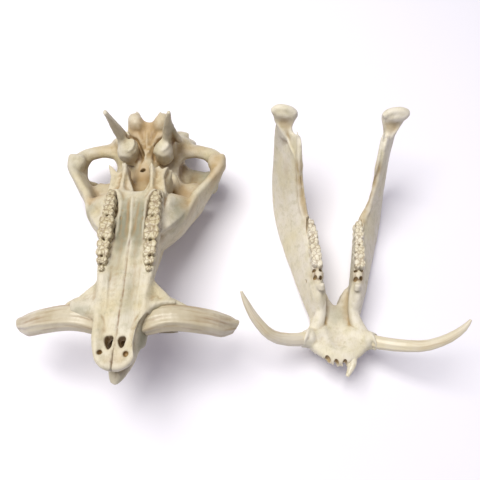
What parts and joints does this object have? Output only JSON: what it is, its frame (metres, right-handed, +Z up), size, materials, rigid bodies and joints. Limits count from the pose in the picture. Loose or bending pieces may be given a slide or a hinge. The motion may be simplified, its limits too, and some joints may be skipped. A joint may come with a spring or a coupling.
{
  "type": "warthog skull",
  "caption": "Skull of a young adult warthog in its two bones: cranium lying palate up with flared tusks, and the mandible with curved tusks beside it.",
  "frame": {"origin": "middle of the two bones' common bounding box, at floor level", "axes": "+X across both bones, from the cranium to the mandible; +Y from the snout and chin to the back of the skull; +Z up from the floor, towards the palate"},
  "size_m": [0.498, 0.3774, 0.153],
  "materials": {
    "cranium_bone": "dry matte bone",
    "mandible_bone": "dry matte bone",
    "tusk_ivory": "worn ivory with a soft sheen",
    "tooth": "tooth enamel"
  },
  "bodies": {
    "root": {"braincase": "cranium_bone", "maxilla_with_upper_teeth": "cranium_bone", "premaxilla": "cranium_bone", "nasal_bones": "cranium_bone", "zygomatic_arch_left": "cranium_bone", "zygomatic_arch_right": "cranium_bone", "paroccipital_process_left": "cranium_bone", "paroccipital_process_right": "cranium_bone", "mandible_left": "mandible_bone", "mandible_right": "mandible_bone", "upper_tusk_left": "tusk_ivory", "upper_tusk_right": "tusk_ivory", "lower_tusk_left": "tusk_ivory", "lower_tusk_right": "tusk_ivory", "lower_incisor": "tooth"}
  },
  "joints": []
}
